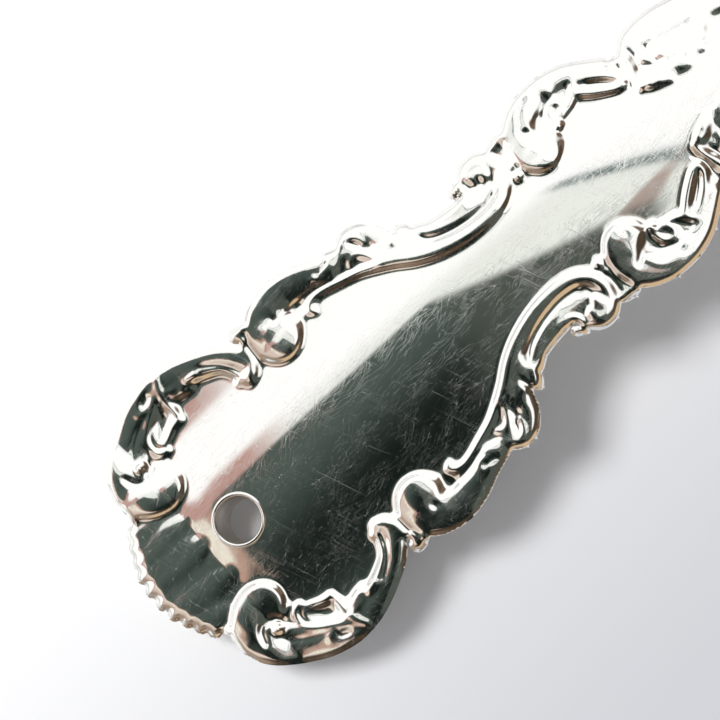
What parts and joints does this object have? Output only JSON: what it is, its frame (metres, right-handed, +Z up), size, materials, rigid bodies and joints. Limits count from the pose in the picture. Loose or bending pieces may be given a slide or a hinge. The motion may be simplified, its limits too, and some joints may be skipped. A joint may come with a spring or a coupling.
{
  "type": "baby rattle",
  "caption": "Polished silver baby rattle: flat hollow handle with a raised scroll border and a ribbon hole, turned ferrule, ball head with loose pellets, and small side bells.",
  "frame": {"origin": "on the table under the middle of the rattle, which lies on its back", "axes": "+X from the tip of the handle to the head, +Y to the left bell, +Z up out of the handle's front"},
  "size_m": [0.1122, 0.0434, 0.0296],
  "materials": {
    "polished_silver": "mirror polished silver with fine hairlines",
    "eyelet_silver": "bright rolled silver",
    "band_silver": "polished silver band",
    "bell_silver": "polished silver sheet",
    "silver_wire": "drawn silver wire",
    "tang_steel": "drawn rod",
    "pellet_steel": "tumbled steel shot"
  },
  "bodies": {
    "handle_and_head": {"front_shell": "polished_silver", "back_shell": "polished_silver", "ribbon_eyelet": "eyelet_silver", "head_tang": "tang_steel", "neck_ferrule": "polished_silver", "calyx_cup": "polished_silver", "lower_cup": "polished_silver", "upper_cup": "polished_silver", "girdle_band": "band_silver", "crown_knop": "polished_silver", "left_bell_eye": "silver_wire", "right_bell_eye": "silver_wire"},
    "left_ring": {"left_jump_ring": "silver_wire"},
    "left_bell": {"left_bell_loop": "silver_wire", "left_bell_cap": "bell_silver", "left_bell_base": "bell_silver"},
    "left_bell_ball": {"left_bell_pellet": "pellet_steel"},
    "right_ring": {"right_jump_ring": "silver_wire"},
    "right_bell": {"right_bell_loop": "silver_wire", "right_bell_cap": "bell_silver", "right_bell_base": "bell_silver"},
    "right_bell_ball": {"right_bell_pellet": "pellet_steel"},
    "loose_ball_1": {"rattle_pellet_1": "pellet_steel"},
    "loose_ball_2": {"rattle_pellet_2": "pellet_steel"},
    "loose_ball_3": {"rattle_pellet_3": "pellet_steel"},
    "loose_ball_4": {"rattle_pellet_4": "pellet_steel"},
    "loose_ball_5": {"rattle_pellet_5": "pellet_steel"}
  },
  "joints": [
    {"name": "left_ring_swing", "type": "hinge", "parent": "handle_and_head", "child": "left_ring", "pos_m": [0.03703, 0.0174, 0.01477], "axis": [1, 0, 0], "range_deg": [0, 110]},
    {"name": "left_bell_swing", "type": "hinge", "parent": "left_ring", "child": "left_bell", "pos_m": [0.03703, 0.0174, 0.01307], "axis": [0, 1, 0], "range_deg": [-60, 60]},
    {"name": "left_bell_ball_roll", "type": "hinge", "parent": "left_bell", "child": "left_bell_ball", "pos_m": [0.03703, 0.0174, 0.00562], "axis": [1, 0, 0], "continuous": true},
    {"name": "right_ring_swing", "type": "hinge", "parent": "handle_and_head", "child": "right_ring", "pos_m": [0.03703, -0.0174, 0.01477], "axis": [-1, 0, 0], "range_deg": [0, 110]},
    {"name": "right_bell_swing", "type": "hinge", "parent": "right_ring", "child": "right_bell", "pos_m": [0.03703, -0.0174, 0.01307], "axis": [0, 1, 0], "range_deg": [-60, 60]},
    {"name": "right_bell_ball_roll", "type": "hinge", "parent": "right_bell", "child": "right_bell_ball", "pos_m": [0.03703, -0.0174, 0.00562], "axis": [1, 0, 0], "continuous": true},
    {"name": "loose_ball_1_roll", "type": "hinge", "parent": "handle_and_head", "child": "loose_ball_1", "pos_m": [0.03703, 0, 0.01477], "axis": [1, 0, 0], "continuous": true},
    {"name": "loose_ball_2_roll", "type": "hinge", "parent": "handle_and_head", "child": "loose_ball_2", "pos_m": [0.03703, 0, 0.01477], "axis": [1, 0, 0], "continuous": true},
    {"name": "loose_ball_3_roll", "type": "hinge", "parent": "handle_and_head", "child": "loose_ball_3", "pos_m": [0.03703, 0, 0.01477], "axis": [1, 0, 0], "continuous": true},
    {"name": "loose_ball_4_roll", "type": "hinge", "parent": "handle_and_head", "child": "loose_ball_4", "pos_m": [0.03703, 0, 0.01477], "axis": [1, 0, 0], "continuous": true},
    {"name": "loose_ball_5_roll", "type": "hinge", "parent": "handle_and_head", "child": "loose_ball_5", "pos_m": [0.03703, 0, 0.01477], "axis": [1, 0, 0], "continuous": true}
  ]
}
